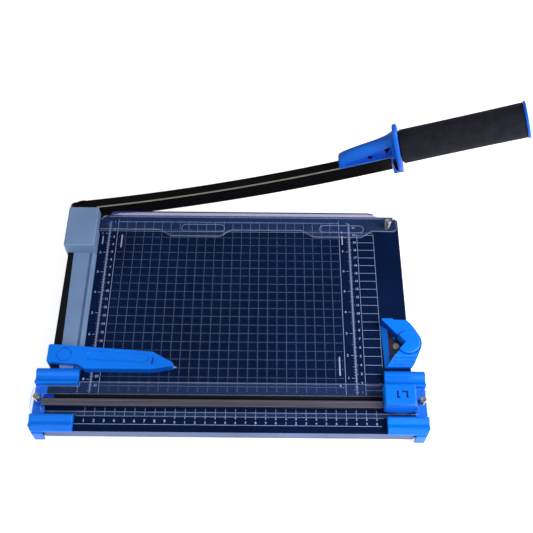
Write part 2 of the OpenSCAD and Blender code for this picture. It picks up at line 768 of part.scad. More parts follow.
// Clear guard: a plate over the paper with two finger tabs, and an upright wall in front of the blade
module clear_guard()
    color(clear) on_table() difference() {
        union() {
            translate([0, 0, paper_gap]) linear_extrude(clear_t) {
                round_rect([housing_x1 + 1, guard_y0], [guard_x1, guard_y1], 5);
                translate([guard_x0, guard_y0]) square([20, -6 - guard_y0]);
                for (lobe = lobes)
                    polygon([[lobe[0] - lobe_ramp, guard_y0 + 1], [lobe[0] - lobe_ramp, guard_y0],
                        [lobe[0], lobe_y], [lobe[1], lobe_y], [lobe[1] + lobe_ramp, guard_y0],
                        [lobe[1] + lobe_ramp, guard_y0 + 1]]);
            }
            along_y(guard_y1 - wall_t, guard_y1)
                polygon([[-10, paper_gap + 1], [-7, wall_h - 2], [-4, wall_h], [282, wall_h], [288, wall_h - 1.5],
                    [294, clear_z1 + 1.5], [300, clear_z1], [300, paper_gap + 1]]);
        }
        for (spot = guard_screw_spots)
            translate([spot.x, spot.y, 0]) cylinder(h = 5, r = 2.2);
    }

module guard_screws()
    color(steel) on_table()
        for (spot = guard_screw_spots)
            translate([spot.x, spot.y, guard_head_z]) screw(3.6, 1.6, 1.5, guard_head_z + sheet_t + 1);

module guard_springs()
    color(steel) on_table()
        for (spot = guard_screw_spots)
            translate([spot.x, spot.y, clear_z1 + 0.05])
                coil_spring(2.7, 0.45, guard_head_z - clear_z1 - 0.1, 6);

// ---- Paper stop ----

stop_z1 = 10;

// Plan outline of the stop, with Y from its straight front edge
function stop_outline() = [[-54.4, 8.2], [-53.6, 7.2], [-22, 4.6], [-15, 0], [53, 0], [74, 3.8], [75, 5.6],
    [74, 7.6], [53.2, 19.5], [18, 22], [-52.6, 27.2], [-54.4, 26]];

// Blue pointed stop for the paper's edge; it bridges the fence and lies on the board
module paper_stop()
    color(blue) on_table() translate([0, stop_y, 0]) difference() {
        union() {
            translate([0, 0, gap]) linear_extrude(stop_z1 - gap) polygon(stop_outline());
            block([-54.4, 8.2, -7], [board_x0 - gap - 0.3, 25.8, stop_z1 - 1]);
        }
        block([board_x0 - gap - 0.3, -1, -1], [fence_x1 + gap, 40, fence_h + gap]);
        translate([-37.8, 15.6, stop_z1 - 0.5]) difference() {
            cylinder(h = 2, r = 7.8);
            translate([0, 0, -1]) cylinder(h = 4, r = 6.6);
        }
        translate([0, 0, stop_z1 - 0.6]) linear_extrude(2) {
            translate([-8.6, 14.9]) circle(5);
            polygon([[-8.6, 9.9], [-8.6, 19.9], [47, 16.4], [50, 12.4], [47, 7.6]]);
        }
        rod_x(72, 5.6, 3, 76, 0.9);
    }

// Round bar along X
module rod_x(x0, y, z, x1, r) translate([x0, y, z]) rotate([0, 90, 0]) cylinder(h = x1 - x0, r = r);

// Key under the stop that runs in the fence's groove
module stop_glide()
    color(black) on_table() translate([0, stop_y, 0])
        block([groove_x0 + gap, 9, 1.8 + gap], [groove_x1 - gap, 22, fence_h + gap]);

// Steel pin that marks the stop's point
module stop_pin() color(steel) on_table() translate([0, stop_y, 0]) rod_x(72, 5.6, 3, 77.5, 0.9);

// ---- Corner rounder ----

function rounder_outline() = [[288.9, -137.7], [299.8, -137.5], [301.6, -139], [314.6, -139.4], [318.7, -143.2],
    [322.5, -149.4], [326.6, -156.8], [328.2, -160.8], [328.7, -165.1], [327.9, -169.9], [325.3, -175.9],
    [321, -184.5], [318.2, -188.4], [290.6, -188.4]];

// Paper's corner goes into this notch
module notch() polygon([[311.7, round_y], [270, round_y - 48.2], [270, round_y + 48.2]]);

// Outline of the steel plate in the notch
module die_outline() intersection() {
    notch();
    translate([295.5, -200]) square([20, 70]);
}

peg_ys = [round_y - 8.5, round_y + 9.5];

// Blue moulded body of the corner rounder; its front slopes down in three ribs
module rounder_body()
    color(blue) on_table() difference() {
        linear_extrude(round_z1) polygon(rounder_outline());
        translate([0, 0, die_z - 1.5]) linear_extrude(20) difference() {
            die_outline();
            for (y = peg_ys)
                translate([301.5, y]) circle(1.2);
        }
        translate([0, 0, die_z]) linear_extrude(20) notch();
        intersection() {
            linear_extrude(20) notch();
            along_y(-220, -120) polygon([[280, 0.6], [289.5, 0.6], [295.5, die_z], [295.5, 20], [280, 20]]);
        }
        along_x(280, 335) polygon([[-179, round_z1 + 1], [-179, round_z1], [-188.5, 3.4], [-195, 3.4],
            [-195, round_z1 + 1]]);
        for (rib = [[-181.6, 11.1], [-184.2, 8.2], [-186.8, 5.3]])
            rod_x(298, rib[0], rib[1], 330, 0.45);
        translate([knob_x, round_y, die_z + 1.2]) cylinder(h = 20, r = knob_r + 0.4);
        translate([punch_x, round_y, 1]) cylinder(h = 20, r = plunger_r + 0.08);
        translate([die_screw_x, round_y, 1]) cylinder(h = 10, r = 1.5);
        pilots(rounder_spots, 1.5, 5);
    }

die_screw_x = 303.2;

module rounder_screws() color(steel) on_table() screws_below(rounder_spots, sheet_t + 4);

// Steel plate in the notch's floor; its round edge is the die
module die_plate()
    color([0.42, 0.4, 0.42]) on_table() translate([0, 0, die_z - 1.5]) linear_extrude(1.5) difference() {
        die_outline();
        translate([punch_x, round_y]) circle(plunger_r + 0.08);
        translate([die_screw_x, round_y]) circle(1.5);
        for (y = peg_ys)
            translate([301.5, y]) circle(1.3);
    }

module die_screw()
    color(steel) on_table() translate([die_screw_x, round_y, die_z]) screw(3.8, 1, 1.5, 4);

// Blue button that drives the punch; the notch cuts its left side
module rounder_knob()
    color(blue) on_table() difference() {
        union() {
            translate([knob_x, round_y, 0]) rotate_extrude() polygon([[0, 11], [knob_r, 11], [knob_r, 15],
                [knob_r - 0.5, 16], [knob_r - 1.8, 16.6], [0, 17]]);
            translate([punch_x, round_y, 9]) cylinder(h = 3, r = plunger_r);
        }
        translate([0, 0, 10.9]) linear_extrude(10) notch();
    }

// Steel punch below the button, hollowed where it rounds the corner
module rounder_punch()
    color(steel) on_table() difference() {
        translate([punch_x, round_y, die_z + 1]) cylinder(h = 9 - die_z - 1, r = plunger_r);
        translate([punch_x - plunger_r - 1, round_y, die_z]) cylinder(h = 2.5, r = 3.4);
    }

module rounder_spring()
    color(steel) on_table()
        for (side = [-1, 1])
            translate([knob_x + 3.2, round_y + side * 8, die_z + 1.25]) coil_spring(2.2, 0.4, 4.7, 2);

// ---- Build ----

base_pan();
rubber_feet();
lower_blade();
lower_blade_screws();
pivot_bracket();
pivot_bracket_screws();
pivot_bolt();
pivot_nut();
pivot_washers();
pivot_housing();
housing_screws();
side_fence();
fence_screws();
stop_track();
left_bracket();
right_bracket();
bracket_screws();
rotary_rail();
rail_screws();
cutting_strip();
clamp_screws();
guard_screws();
rounder_body();
rounder_screws();
die_plate();
die_screw();
arm_beam();
arm_blade();
blade_rivets();
pivot_bush();
hand_guard();
hand_guard_screw();
handle_tang();
tang_rivets();
grip_core();
foam_grip();
grip_end_cap();
clear_guard();
guard_springs();
clamp_strip();
clamp_springs();
carriage_glide();
head_cap();
head_springs();
blade_carrier();
blade_axle();
rotary_blade();
paper_stop();
stop_glide();
stop_pin();
rounder_knob();
rounder_punch();
rounder_spring();
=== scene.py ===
"""Looks of the guillotine paper cutter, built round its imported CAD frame."""
import json
import math

import bmesh
import bpy
from mathutils import Matrix, Vector


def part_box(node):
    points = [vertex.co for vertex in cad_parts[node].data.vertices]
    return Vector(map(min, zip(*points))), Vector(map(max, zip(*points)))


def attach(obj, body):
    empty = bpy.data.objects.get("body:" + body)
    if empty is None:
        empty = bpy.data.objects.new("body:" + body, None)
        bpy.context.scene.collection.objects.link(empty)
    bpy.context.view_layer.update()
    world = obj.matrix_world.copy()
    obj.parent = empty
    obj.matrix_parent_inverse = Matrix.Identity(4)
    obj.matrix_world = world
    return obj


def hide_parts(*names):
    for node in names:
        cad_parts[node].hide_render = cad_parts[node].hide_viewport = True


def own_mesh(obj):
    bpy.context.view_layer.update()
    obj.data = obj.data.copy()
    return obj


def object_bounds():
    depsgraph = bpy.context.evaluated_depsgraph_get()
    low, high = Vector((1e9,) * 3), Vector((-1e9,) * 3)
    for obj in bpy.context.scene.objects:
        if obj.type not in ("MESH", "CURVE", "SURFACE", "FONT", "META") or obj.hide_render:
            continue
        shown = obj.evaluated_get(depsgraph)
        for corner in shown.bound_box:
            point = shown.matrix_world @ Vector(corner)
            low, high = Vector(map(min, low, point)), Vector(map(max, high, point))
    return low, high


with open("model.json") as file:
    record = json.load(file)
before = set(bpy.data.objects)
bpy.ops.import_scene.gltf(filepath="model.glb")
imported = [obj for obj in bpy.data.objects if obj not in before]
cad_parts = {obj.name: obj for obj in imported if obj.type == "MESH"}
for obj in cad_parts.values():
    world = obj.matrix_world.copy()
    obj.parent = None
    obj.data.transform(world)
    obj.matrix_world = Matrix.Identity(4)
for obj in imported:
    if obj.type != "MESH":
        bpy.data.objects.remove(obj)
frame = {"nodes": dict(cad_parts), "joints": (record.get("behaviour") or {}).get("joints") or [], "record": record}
cad_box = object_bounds()

MM = 0.001
GRID_MARGIN = 51  # board's left edge to the grid's first line, in millimetres
SHARP_ANGLE = math.radians(34)  # edges sharper than this are rounded and break the smooth shading
SCENE = bpy.context.scene
BOX = {name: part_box(name) for name in frame["nodes"]}
JOINTS = {joint["name"]: joint for joint in frame["joints"]}
BODY_OF = {node: body for body, nodes in frame["record"]["behaviour"]["bodies"].items() for node in nodes}
SLOT_OF = {part["node"]: part["material_slot"] for part in frame["record"]["subparts"]}

# Board coordinates in millimetres: X from the grid's first line, Y from the cutting line and
# Z from the board's top
BOARD = Matrix.Translation((BOX["base_pan"][0].x + GRID_MARGIN * MM, BOX["lower_blade"][1].y,
                            BOX["base_pan"][1].z)) @ Matrix.Scale(MM, 4)

# The arm's own coordinates in millimetres: X along the closed arm from the pivot, Z up
PIVOT = Vector(JOINTS["arm_pivot"]["pos_m"])
ARM_OPEN = -JOINTS["arm_pivot"]["range_deg"][0]
ARM = (Matrix.Translation((PIVOT.x, BOX["lower_blade"][1].y, PIVOT.z))
       @ Matrix.Rotation(math.radians(-ARM_OPEN), 4, "Y") @ Matrix.Scale(MM, 4))


# ---- Materials ----

def srgb(red, green, blue):
    """Linear colour of an sRGB one in 0..255."""
    def linear(c):
        c /= 255
        return c / 12.92 if c <= 0.04045 else ((c + 0.055) / 1.055) ** 2.4
    return (linear(red), linear(green), linear(blue), 1.0)


def shade(colour, factor):
    """The colour made lighter or darker."""
    return tuple(min(c * factor, 1.0) for c in colour[:3]) + (1.0,)


class Surface:
    """A node material on one Principled shader, with object coordinates in metres."""

    def __init__(self, name, metallic=0.0, specular=0.5, coat=0.0, transmission=0.0, ior=1.5, alpha=1.0):
        self.material = bpy.data.materials.new(name)
        self.material.use_nodes = True
        self.tree = self.material.node_tree
        self.shader = self.tree.nodes["Principled BSDF"]
        self.shader.inputs["Metallic"].default_value = metallic
        self.shader.inputs["Specular IOR Level"].default_value = specular
        self.shader.inputs["Coat Weight"].default_value = coat
        self.shader.inputs["Coat Roughness"].default_value = 0.12
        self.shader.inputs["Transmission Weight"].default_value = transmission
        self.shader.inputs["IOR"].default_value = ior
        self.shader.inputs["Alpha"].default_value = alpha
        self.coordinates = self.tree.nodes.new("ShaderNodeTexCoord")
        self.height = None

    def noise(self, scale, detail=3.0, stretch=(1, 1, 1), roughness=0.5):
        """Noise whose features are about 1/scale metres, drawn out by the stretch."""
        mapping = self.tree.nodes.new("ShaderNodeMapping")
        mapping.inputs["Scale"].default_value = stretch
        self.tree.links.new(self.coordinates.outputs["Object"], mapping.inputs["Vector"])
        node = self.tree.nodes.new("ShaderNodeTexNoise")
        node.inputs["Scale"].default_value = scale
        node.inputs["Detail"].default_value = detail
        node.inputs["Roughness"].default_value = roughness
        self.tree.links.new(mapping.outputs["Vector"], node.inputs["Vector"])
        return node.outputs["Fac"]

    def cells(self, scale):
        """Distance to the cell walls of a Voronoi pattern."""
        node = self.tree.nodes.new("ShaderNodeTexVoronoi")
        node.inputs["Scale"].default_value = scale
        self.tree.links.new(self.coordinates.outputs["Object"], node.inputs["Vector"])
        return node.outputs["Distance"]

    def colour(self, low, high, value):
        """Blend of two colours by a value, with most of the change in the value's middle."""
        node = self.tree.nodes.new("ShaderNodeValToRGB")
        for element, position, colour in zip(node.color_ramp.elements, (0.3, 0.7), (low, high)):
            element.position = position
            element.color = colour
        self.tree.links.new(value, node.inputs["Fac"])
        self.tree.links.new(node.outputs["Color"], self.shader.inputs["Base Color"])

    def roughness(self, low, high, value):
        """Roughness from low to high by a value."""
        node = self.tree.nodes.new("ShaderNodeMapRange")
        node.inputs["To Min"].default_value = low
        node.inputs["To Max"].default_value = high
        self.tree.links.new(value, node.inputs["Value"])
        self.tree.links.new(node.outputs["Result"], self.shader.inputs["Roughness"])

    def bump(self, value, depth, strength=1.0):
        """Bump of a depth in metres, added to the ones before."""
        node = self.tree.nodes.new("ShaderNodeBump")
        node.inputs["Strength"].default_value = strength
        node.inputs["Distance"].default_value = depth
        self.tree.links.new(value, node.inputs["Height"])
        if self.height:
            self.tree.links.new(self.height, node.inputs["Normal"])
        self.height = node.outputs["Normal"]
        self.tree.links.new(self.height, self.shader.inputs["Normal"])


def moulded(name, colour, roughness=0.34, specular=0.22):
    """Moulded plastic: a fine spark-eroded grain, faint flow marks and small shifts of colour."""
    surface = Surface(name, specular=specular, coat=0.03)
    surface.colour(shade(colour, 0.9), shade(colour, 1.08), surface.noise(24, 4))
    surface.roughness(roughness - 0.07, roughness + 0.1, surface.noise(90, 3))
    surface.bump(surface.noise(2600, 2), 0.00002, 0.5)
    surface.bump(surface.noise(60, 2), 0.00005, 0.15)
    return surface.material


def coated(name, colour, roughness=0.38, specular=0.12):
    """Stoved coating on steel: orange peel, a few specks of dust and faint rubbing."""
    surface = Surface(name, specular=specular)
    surface.colour(shade(colour, 0.82), shade(colour, 1.2), surface.noise(14, 5))
    surface.roughness(roughness - 0.08, roughness + 0.12, surface.noise(60, 5, (1, 0.25, 1)))
    surface.bump(surface.noise(900, 2), 0.00003, 0.25)
    surface.bump(surface.noise(5200, 1), 0.000006, 0.3)
    return surface.material


def drawn_steel(name, colour, roughness=0.3, stretch=(0.02, 1, 1)):
    """Bare steel with the fine lines that drawing or grinding leaves."""
    surface = Surface(name, metallic=1.0)
    lines = surface.noise(2400, 4, stretch, 0.7)
    surface.colour(shade(colour, 0.78), shade(colour, 1.12), surface.noise(500, 4, stretch, 0.7))
    surface.roughness(roughness - 0.1, roughness + 0.14, lines)
    surface.bump(lines, 0.000008, 0.5)
    return surface.material


def plated(name, colour, roughness=0.24):
    """Zinc plating: faint crystals and clouding."""
    surface = Surface(name, metallic=1.0)
    surface.colour(shade(colour, 0.8), shade(colour, 1.1), surface.noise(300, 4))
    surface.roughness(roughness - 0.06, roughness + 0.12, surface.noise(700, 3))
    surface.bump(surface.cells(2200), 0.000006, 0.3)
    return surface.material


def foamed(name, colour):
    """Closed-cell foam: fine open skin pores and a soft sheen."""
    surface = Surface(name, specular=0.1)
    surface.colour(shade(colour, 0.75), shade(colour, 1.3), surface.noise(120, 6))
    surface.roughness(0.72, 0.92, surface.noise(400, 3))
    surface.bump(surface.cells(2600), 0.00012, 0.55)
    surface.bump(surface.noise(5200, 2), 0.00004, 0.4)
    surface.shader.inputs["Sheen Weight"].default_value = 0.02
    surface.shader.inputs["Sheen Roughness"].default_value = 0.5
    return surface.material


def acrylic(name, colour, roughness=0.03, transmission=0.8, alpha=0.15):
    """Clear moulded plastic with faint scuffs; its alpha lets the light through to what lies under it."""
    surface = Surface(name, transmission=transmission, ior=1.45, specular=0.3, alpha=alpha)
    surface.colour(shade(colour, 0.94), colour, surface.noise(30, 3))
    surface.roughness(roughness, roughness + 0.05, surface.noise(160, 5, (1, 0.2, 1)))
    surface.bump(surface.noise(45, 2), 0.00001, 0.03)
    return surface.material


def rubbery(name, colour):
    """Moulded rubber: matt, with a coarse grain."""
    surface = Surface(name, specular=0.3)
    surface.colour(shade(colour, 0.8), shade(colour, 1.3), surface.noise(80, 4))
    surface.roughness(0.6, 0.85, surface.noise(300, 3))
    surface.bump(surface.noise(1800, 3), 0.00004, 0.5)
    return surface.material


def inked(name, colour):
    """Screen-printed ink, thin enough to let a little of the paint through."""
    surface = Surface(name, specular=0.2)
    surface.colour(shade(colour, 0.75), shade(colour, 1.05), surface.noise(700, 4))
    surface.roughness(0.45, 0.65, surface.noise(300, 3))
    surface.bump(surface.noise(3000, 2), 0.00001, 0.4)
    return surface.material


NAVY = coated("navy_coating", srgb(5, 22, 55), specular=0.05)
# painted reflection: the board's front face, lighter than its top
FRONT_FACE_REFLECTION = coated("front_face_painted_reflection", srgb(96, 114, 156), roughness=0.42)
BLACK_COAT = coated("black_coating", srgb(12, 10, 12), roughness=0.36, specular=0.08)
HOUSING_GREY = moulded("grey_plastic", srgb(112, 138, 176), roughness=0.42)
BLUE = moulded("blue_plastic", srgb(0, 116, 236), roughness=0.36)
GUARD_BLUE = moulded("blue_plastic_guard", srgb(4, 88, 190), roughness=0.4)
# painted shade on the front faces of the head and the stop; also the darker blue of the guard's flange and the
# grip's end cap
BLUE_DARK_AND_FRONT_SHADE = moulded("blue_plastic_dark_and_front_shade", srgb(0, 92, 205), roughness=0.4)
# painted shade: a darker copy of the blue plastic for the bracket's tab, the guard's sunk panel, the first stop
# rib and the rounder's notch wall
BLUE_PAINTED_SHADE = moulded("blue_plastic_painted_shade", srgb(0, 58, 170), roughness=0.45, specular=0.15)
# painted deep shade: near-black blue for the head's sunk mark and the guard's pockets
BLUE_PAINTED_DEEP_SHADE = moulded("blue_plastic_painted_deep_shade", srgb(1, 12, 46), roughness=0.5, specular=0.1)
DARK_PLASTIC = moulded("black_plastic", srgb(14, 15, 20), roughness=0.5, specular=0.12)
WHITE_PLASTIC = moulded("white_plastic", srgb(214, 214, 208), roughness=0.45)
RAIL = drawn_steel("rail_steel", srgb(132, 127, 146), roughness=0.36)
GROUND_STEEL = drawn_steel("ground_steel", srgb(190, 192, 198), roughness=0.22)
COUNTER_STEEL = drawn_steel("counter_blade_steel", srgb(62, 66, 82), roughness=0.34)
GROUND_EDGE = drawn_steel("ground_edge", srgb(212, 206, 190), roughness=0.4)
DIE_STEEL = drawn_steel("die_steel", srgb(92, 86, 96), roughness=0.35, stretch=(1, 0.05, 1))
ZINC = plated("zinc_plating", srgb(196, 194, 190))
BRONZE = plated("sintered_bronze", srgb(176, 142, 92), roughness=0.4)
SPRING_WIRE = plated("spring_wire", srgb(200, 198, 196), roughness=0.2)
FOAM = foamed("grip_foam", srgb(26, 26, 35))
RUBBER = rubbery("foot_rubber", srgb(26, 26, 28))
CLEAR = acrylic("clear_plastic", srgb(128, 176, 255))
# painted highlight on the thin and rounded edges of the clear parts and on the guard's ovals
CLEAR_EDGE_HIGHLIGHT = acrylic("clear_plastic_edge_highlight", srgb(196, 208, 250), 0.2, transmission=0.55, alpha=0.7)
# painted reflection: lilac on the sides of the guard's upright wall
CLEAR_WALL_REFLECTION = acrylic("clear_plastic_wall_reflection", srgb(112, 112, 188), 0.08, transmission=0.3, alpha=0.45)
CLEAR_RIM = acrylic("clear_plastic_rim", srgb(30, 42, 92), 0.12, transmission=0.05, alpha=0.95)
INK = inked("printed_ink", srgb(168, 180, 222))
DOT_INK = inked("printed_dots", srgb(196, 212, 255))


# ---- Piece helpers ----

def piece(name, mesh, body, slot, *materials):
    """A new object that rides on a body, with the materials it is given; the slot is not used."""
    made = bpy.data.objects.new(name, mesh)
    SCENE.collection.objects.link(made)
    for material in materials:
        mesh.materials.append(material)
    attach(made, body)
    return made


def smooth(mesh):
    """Smooth shading that breaks at sharp edges."""
    mesh.shade_smooth()
    mesh.set_sharp_from_angle(angle=SHARP_ANGLE)


def evaluated_mesh(made):
    """The object's mesh with its modifiers applied, in place of its own."""
    shown = made.evaluated_get(bpy.context.evaluated_depsgraph_get())
    mesh = bpy.data.meshes.new_from_object(shown)
    made.modifiers.clear()
    made.data = mesh
    return mesh


def round_edges(made, width, segments, **options):
    """Round the sharp edges by a width in millimetres."""
    rounding = made.modifiers.new("rounding", "BEVEL")
    rounding.width = width * MM
    rounding.segments = segments
    rounding.limit_method = "ANGLE"
    rounding.angle_limit = SHARP_ANGLE
    for name, value in options.items():
        setattr(rounding, name, value)
    return evaluated_mesh(made)


def bevelled(node, material, width=0.35, segments=2, edge_material=None):
    """A copy of a CAD node with its sharp edges rounded, which stands for the node."""
    mesh = bpy.data.meshes.new(node + "_mesh")
    form = bmesh.new()
    form.from_mesh(frame["nodes"][node].data)
    bmesh.ops.remove_doubles(form, verts=form.verts, dist=1e-6)
    bmesh.ops.dissolve_limit(form, angle_limit=math.radians(0.3), verts=form.verts, edges=form.edges)
    for face in form.faces:
        face.material_index = 0
    form.to_mesh(mesh)
    form.free()
    made = piece(node + "_shell", mesh, BODY_OF[node], SLOT_OF[node], material)
    if edge_material:
        mesh.materials.append(edge_material)
    if width:
        mesh = round_edges(made, width, segments, use_clamp_overlap=False, miter_outer="MITER_ARC",
                           material=1 if edge_material else -1)
    smooth(mesh)
    if width:
        made.modifiers.new("flat_faces", "WEIGHTED_NORMAL").keep_sharp = True
        evaluated_mesh(made)
    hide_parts(node)
    return made


def mesh_of(form, name):
    """The form as a mesh; the form is used up."""
    mesh = bpy.data.meshes.new(name)
    form.to_mesh(mesh)
    form.free()
    return mesh


def lathe(profile, steps=96):
    """Ring-shaped solid of revolution about +Z: the profile is a closed loop of radii and heights."""
    form = bmesh.new()
    turns = [2 * math.pi * k / steps for k in range(steps)]
    rings = [[form.verts.new((radius * math.cos(turn), radius * math.sin(turn), height))
              for turn in turns] for radius, height in profile]
    for low, high in zip(rings, rings[1:] + rings[:1]):
        for k in range(steps):
            form.faces.new([low[k - 1], low[k], high[k], high[k - 1]])
    bmesh.ops.recalc_face_normals(form, faces=form.faces)
    return form


def arc(cx, cy, radius, start, end, steps):
    """Points of an arc, by its angles in degrees."""
    turns = [math.radians(start + (end - start) * k / steps) for k in range(steps + 1)]
    return [(cx + radius * math.cos(turn), cy + radius * math.sin(turn)) for turn in turns]


# ---- Printing on the board ----

PRINT_Z = 0.04  # height of the ink above the board, in millimetres
GRID_X1 = 250
GRID_Y0 = -218
GRID_TOP = -9
GRID_ROWS = 21
GRID_COLUMNS = 24
DOT_LENGTH = 0.42
DOT_PITCH = 2.5
DOT_WIDTH = 0.62
GUARD_REACH = 20  # the columns are solid lines as far as the clear guard reaches
LINE = 0.35


class Print:
    """Flat ink marks, gathered into one mesh in board coordinates."""

    def __init__(self):
        self.form = bmesh.new()

    def bar(self, x0, y0, x1, y1):
        """A filled rectangle."""
        corners = [(x0, y0), (x1, y0), (x1, y1), (x0, y1)]
        self.form.faces.new([self.form.verts.new((x, y, PRINT_Z)) for x, y in corners])

    def row(self, x0, x1, y, width=LINE):
        self.bar(x0, y - width / 2, x1, y + width / 2)

    def column(self, x, y0, y1, width=LINE):
        self.bar(x - width / 2, y0, x + width / 2, y1)

    def polyline(self, points, width=LINE):
        """A line of even width through the points."""
        for (ax, ay), (bx, by) in zip(points, points[1:]):
            reach = Vector((bx - ax, by - ay, 0)).normalized() * width / 2
            side = Vector((-reach.y, reach.x, 0))
            low, high = Vector((ax, ay, PRINT_Z)) - reach, Vector((bx, by, PRINT_Z)) + reach
            corners = (low - side, high - side, high + side, low + side)
            self.form.faces.new([self.form.verts.new(corner) for corner in corners])

    def numeral(self, value, x, y, height):
        """A number, centred on a place."""
        mesh = numeral_mesh(value, height)
        before = len(self.form.verts)
        self.form.from_mesh(mesh)
        self.form.verts.ensure_lookup_table()
        for vert in self.form.verts[before:]:
            vert.co += Vector((x, y, PRINT_Z))

    def finish(self, name, ink=INK):
        """The marks as one piece that rides on the base."""
        self.form.transform(BOARD)
        piece(name, mesh_of(self.form, name), "base", "white_plastic", ink)


NUMERALS = {}


def numeral_mesh(value, height):
    """Flat mesh of a number in the built-in typeface, centred on the origin."""
    if (value, height) not in NUMERALS:
        curve = bpy.data.curves.new("numeral", "FONT")
        curve.body = str(value)
        curve.size = height * 1.35
        curve.offset = height * 0.035
        curve.align_x = "CENTER"
        curve.align_y = "CENTER"
        curve.resolution_u = 3
        holder = bpy.data.objects.new("numeral", curve)
        SCENE.collection.objects.link(holder)
        shown = holder.evaluated_get(bpy.context.evaluated_depsgraph_get())
        NUMERALS[value, height] = bpy.data.meshes.new_from_object(shown)
        bpy.data.objects.remove(holder)
    return NUMERALS[value, height]


def print_grid():
    """Centimetre squares in dotted lines between two solid lines."""
    dots = Print()
    half = DOT_LENGTH / 2
    for row in range(1, GRID_ROWS + 1):
        for k in range(int(GRID_X1 / DOT_PITCH)):
            dots.row(k * DOT_PITCH - half, k * DOT_PITCH + half, -10 * row, DOT_WIDTH)
    for column in range(1, GRID_COLUMNS + 1):
        for k in range(int(-GRID_Y0 / DOT_PITCH)):
            if k * DOT_PITCH > GUARD_REACH:
                dots.column(10 * column, -k * DOT_PITCH - half, -k * DOT_PITCH + half, DOT_WIDTH)
        dots.column(10 * column, -GUARD_REACH, GRID_TOP, 0.16)
    dots.finish("printed_dots", DOT_INK)
    marks = Print()
    for x in (0, GRID_X1):
        marks.column(x, GRID_Y0, -6, 0.42)
    marks.row(-22, 288, -22, 0.3)
    marks.row(0, GRID_X1, GRID_TOP, 0.4)
    marks.column(-21.4, GRID_Y0, -197)
    marks.finish("printed_grid")


def print_side_scale(name, band_x, cm_x, inch_x, cm_zero, inch_zero, upwards):
    """A centimetre and an inch scale back to back, with millimetre ticks along one band."""
    marks = Print()
    side = 1 if cm_x > inch_x else -1
    way = 1 if upwards else -1
    marks.column(band_x, GRID_Y0, GRID_TOP, 0.5)

    def tick(y, reach):
        marks.row(min(band_x, band_x + reach), max(band_x, band_x + reach), y, 0.4)

    for k in range(1, 400):  # millimetres
        y = cm_zero + way * k
        if GRID_Y0 < y < GRID_TOP:
            tick(y, side * (2.6 if k % 10 == 0 else 1.9 if k % 5 == 0 else 1.3))
            if k % 10 == 0:
                marks.numeral(k // 10, cm_x, y, 2.7)
    for k in range(1, 140):  # eighths of an inch
        y = inch_zero + way * k * 25.4 / 8
        if GRID_Y0 < y < GRID_TOP:
            tick(y, -side * (4.4 if k % 8 == 0 else 2.6 if k % 4 == 0 else 1.6))
            if k % 8 == 0:
                marks.numeral(k // 8, inch_x, y, 2.8)
    marks.finish(name)


def print_photo_sizes():
    """Box of even rows right of the grid, for setting print sizes."""
    marks = Print()
    x0, x1, y_low, y_high = 270, 288.4, -187.2, -24
    marks.column(x0, GRID_Y0, y_high)
    marks.column(x1, y_low, y_high)
    for k in range(4, 21):
        y = -225 + 10 * k
        if y < y_high:
            marks.row(x0, x1, y, 0.4)
    for y in (-195, -205, -213):
        marks.row(x0, 287, y)
    marks.polyline([(x0, -205), (285, -205), (286.5, -206.3), (285, -207.8), (x0, -207.8)])
    marks.finish("printed_size_box")


def print_front_scale():
    """Centimetre scale along the front edge, with the digits of its two-digit numbers one above the other."""
    marks = Print()
    marks.row(-23, 284, -250.8, 0.4)
    for k in range(30):
        x = -11 + 10 * k
        marks.column(x, -242.2, -233.8, 0.3)
        digits = str(k + 1)
        if len(digits) == 1:
            marks.numeral(digits, x, -247.4, 3.2)
        else:
            marks.numeral(digits[0], x, -243.8, 2.5)
            marks.numeral(digits[1], x, -248.5, 2.5)
    marks.finish("printed_front_scale")


def print_captions():
    """Plain bars where the board names its two scales and its two tools."""
    marks = Print()
    marks.column(5.6, -44, -27, 1.3)
    marks.column(-15.6, -40, -29, 1.1)
    marks.column(253.3, -38, -26, 1.2)
    marks.column(244.6, -197, -176, 1.4)
    marks.bar(243.8, -209, 245.4, -207.2)
    marks.finish("printed_captions")


# ---- Body of the cutter ----

def darken_faces(made, material, chosen):
    """Give the faces that are chosen by their middle and normal, in board millimetres, another material."""
    made.data.materials.append(material)
    index = len(made.data.materials) - 1
    to_board = BOARD.inverted()
    for face in made.data.polygons:
        if chosen(to_board @ face.center, face.normal):
            face.material_index = index


def board():
    """Folded board with a painted reflection on its front face, and its feet and counter-blade."""
    pan = bevelled("base_pan", NAVY, 0.7, 3)
    front = (BOARD.inverted() @ BOX["base_pan"][0]).y + 0.3
    # painted reflection on the board's front face
    darken_faces(pan, FRONT_FACE_REFLECTION, lambda place, normal: normal.y < -0.8 and place.y < front)
    bevelled("rubber_feet", RUBBER, 0.6, 3)
    bevelled("lower_blade", COUNTER_STEEL, 0.15)


def fasteners():
    for node in ("lower_blade_screws", "pivot_bracket_screws", "housing_screws", "fence_screws",
                 "bracket_screws", "rounder_screws", "rail_screws", "die_screw", "clamp_screws",
                 "guard_screws", "pivot_bolt", "pivot_nut", "pivot_washers"):
        bevelled(node, ZINC, 0.15, 2)
    bevelled("hand_guard_screw", BLACK_COAT, 0.15, 2)


def pivot_and_fence():
    bevelled("pivot_bracket", ZINC, 0.4, 3)
    bevelled("pivot_housing", HOUSING_GREY, 0.9, 3)
    bevelled("side_fence", HOUSING_GREY, 0.35, 2)
    bevelled("stop_track", DARK_PLASTIC, 0.2, 2)


TAB_X = (-53.8, -43.4)  # block on the left bracket that stops the cutting strip
TAB_Y = (-227.2, -220.2)
RECESS_Z = 19.3  # floor of the sunk mark on the rotary head
RECESS_Y = (-229, -220)


